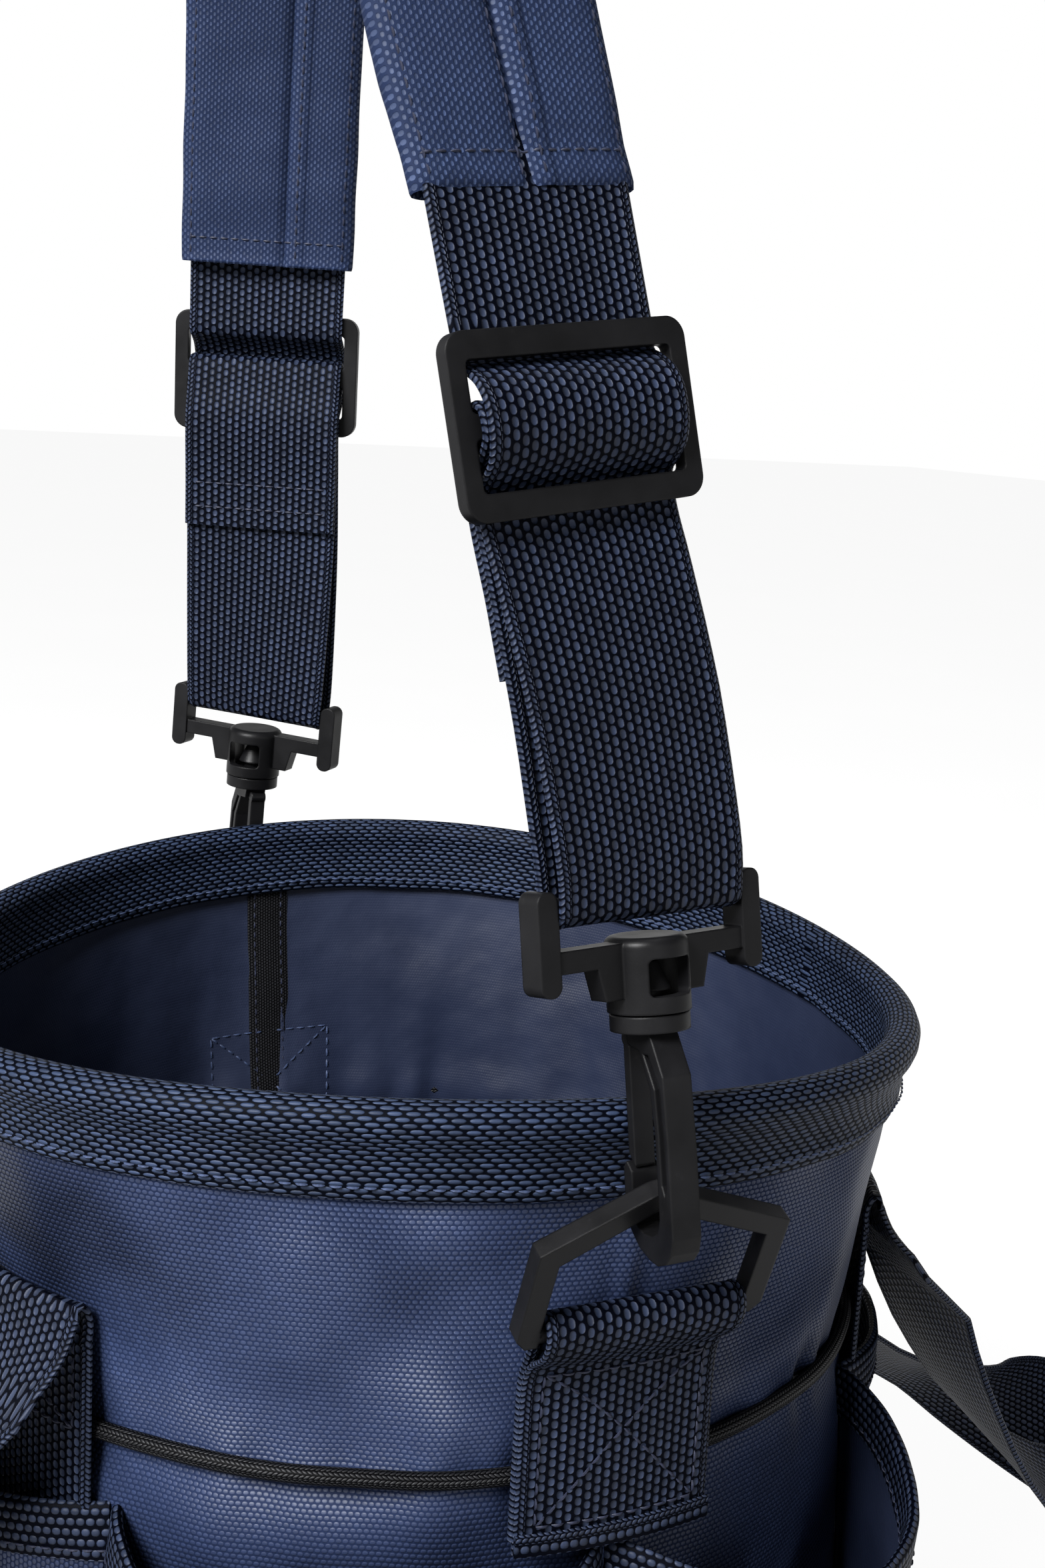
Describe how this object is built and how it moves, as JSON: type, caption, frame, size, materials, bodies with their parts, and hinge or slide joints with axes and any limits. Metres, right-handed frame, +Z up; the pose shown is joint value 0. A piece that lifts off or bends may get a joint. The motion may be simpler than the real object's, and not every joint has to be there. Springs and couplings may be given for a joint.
{
  "type": "bucket carry bag",
  "caption": "Round open-topped carry bag with a hooped rim, outer pockets, side webbing handles and a padded shoulder strap clipped to D-rings.",
  "frame": {"origin": "middle of the bag's base, on the floor", "axes": "+Z up; the D-rings are on -Y (front) and +Y (rear), the carry handles on -X (left) and +X (right)"},
  "size_m": [0.614, 0.3353, 0.717],
  "materials": {
    "body_fabric": "coated oxford weave",
    "webbing": "coarse webbing",
    "black_trim": "matt braid and tape",
    "pad_fabric": "coarse weave",
    "pad_foam": "foam",
    "hoop_rod": "satin",
    "board": "satin",
    "black_plastic": "moulded satin"
  },
  "bodies": {
    "bag": {"left_body_panel": "body_fabric", "right_body_panel": "body_fabric", "base_panel": "body_fabric", "base_board": "board", "base_binding": "black_trim", "rim_hoop": "hoop_rod", "rim_tape": "webbing", "elastic_cord": "black_trim", "front_seam_tape": "black_trim", "rear_seam_tape": "black_trim", "front_ring_tab": "webbing", "rear_ring_tab": "webbing", "right_front_anchor": "webbing", "right_rear_anchor": "webbing", "left_front_anchor": "webbing", "left_rear_anchor": "webbing", "right_pocket": "body_fabric", "right_pocket_binding": "webbing", "left_pocket": "body_fabric", "left_pocket_binding": "webbing", "front_right_pocket": "body_fabric", "front_right_pocket_binding": "webbing", "front_left_pocket": "body_fabric", "front_left_pocket_binding": "webbing", "rear_right_pocket": "body_fabric", "rear_right_pocket_binding": "webbing", "rear_left_pocket": "body_fabric", "rear_left_pocket_binding": "webbing"},
    "front_ring": {"front_d_ring": "black_plastic"},
    "rear_ring": {"rear_d_ring": "black_plastic"},
    "strap": {"strap_webbing": "webbing", "pad_sleeve": "pad_fabric", "pad_core": "pad_foam", "front_slider": "black_plastic", "rear_slider": "black_plastic", "front_yoke": "black_plastic", "rear_yoke": "black_plastic"},
    "front_hook": {"front_hook": "black_plastic"},
    "rear_hook": {"rear_hook": "black_plastic"},
    "front_gate": {"front_hook_gate": "black_plastic"},
    "rear_gate": {"rear_hook_gate": "black_plastic"},
    "left_handle": {"left_handle": "webbing"},
    "right_handle": {"right_handle": "webbing"}
  },
  "joints": [
    {"name": "front_ring_tilt", "type": "hinge", "parent": "bag", "child": "front_ring", "pos_m": [-0.0008, -0.1376, 0.244], "axis": [1, 0, 0], "range_deg": [0, 2.5]},
    {"name": "rear_ring_tilt", "type": "hinge", "parent": "bag", "child": "rear_ring", "pos_m": [-0.0005, 0.1376, 0.235], "axis": [-1, 0, 0], "range_deg": [0, 2.5]},
    {"name": "strap_swing", "type": "hinge", "parent": "bag", "child": "strap", "pos_m": [-0.0055, -0.1504, 0.2785], "axis": [0.0116, 0.9995, -0.0299], "range_deg": [-8, 8]},
    {"name": "front_hook_swivel", "type": "hinge", "parent": "strap", "child": "front_hook", "pos_m": [-0.00682, -0.14208, 0.32261], "axis": [-0.0294, 0.196, 0.9802], "range_deg": [-10, 10]},
    {"name": "rear_hook_swivel", "type": "hinge", "parent": "strap", "child": "rear_hook", "pos_m": [-0.00065, 0.14865, 0.31442], "axis": [0.0299, -0.0499, 0.9983], "range_deg": [-10, 10]},
    {"name": "front_gate_hinge", "type": "hinge", "parent": "front_hook", "child": "front_gate", "pos_m": [-0.00647, -0.13757, 0.30947], "axis": [-0.9996, -0.0058, -0.0288], "range_deg": [0, 12], "stiffness_Nm_per_rad": 0.02, "springref_deg": -11.46},
    {"name": "rear_gate_hinge", "type": "hinge", "parent": "rear_hook", "child": "rear_gate", "pos_m": [-0.00101, 0.14226, 0.30209], "axis": [0.9996, 0.0015, -0.0299], "range_deg": [0, 12], "stiffness_Nm_per_rad": 0.02, "springref_deg": -11.46},
    {"name": "left_handle_lift", "type": "hinge", "parent": "bag", "child": "left_handle", "pos_m": [-0.1306, 0, 0.233], "axis": [0, 1, 0], "range_deg": [0, 140]},
    {"name": "right_handle_lift", "type": "hinge", "parent": "bag", "child": "right_handle", "pos_m": [0.1306, 0, 0.233], "axis": [0, -1, 0], "range_deg": [0, 140]}
  ]
}
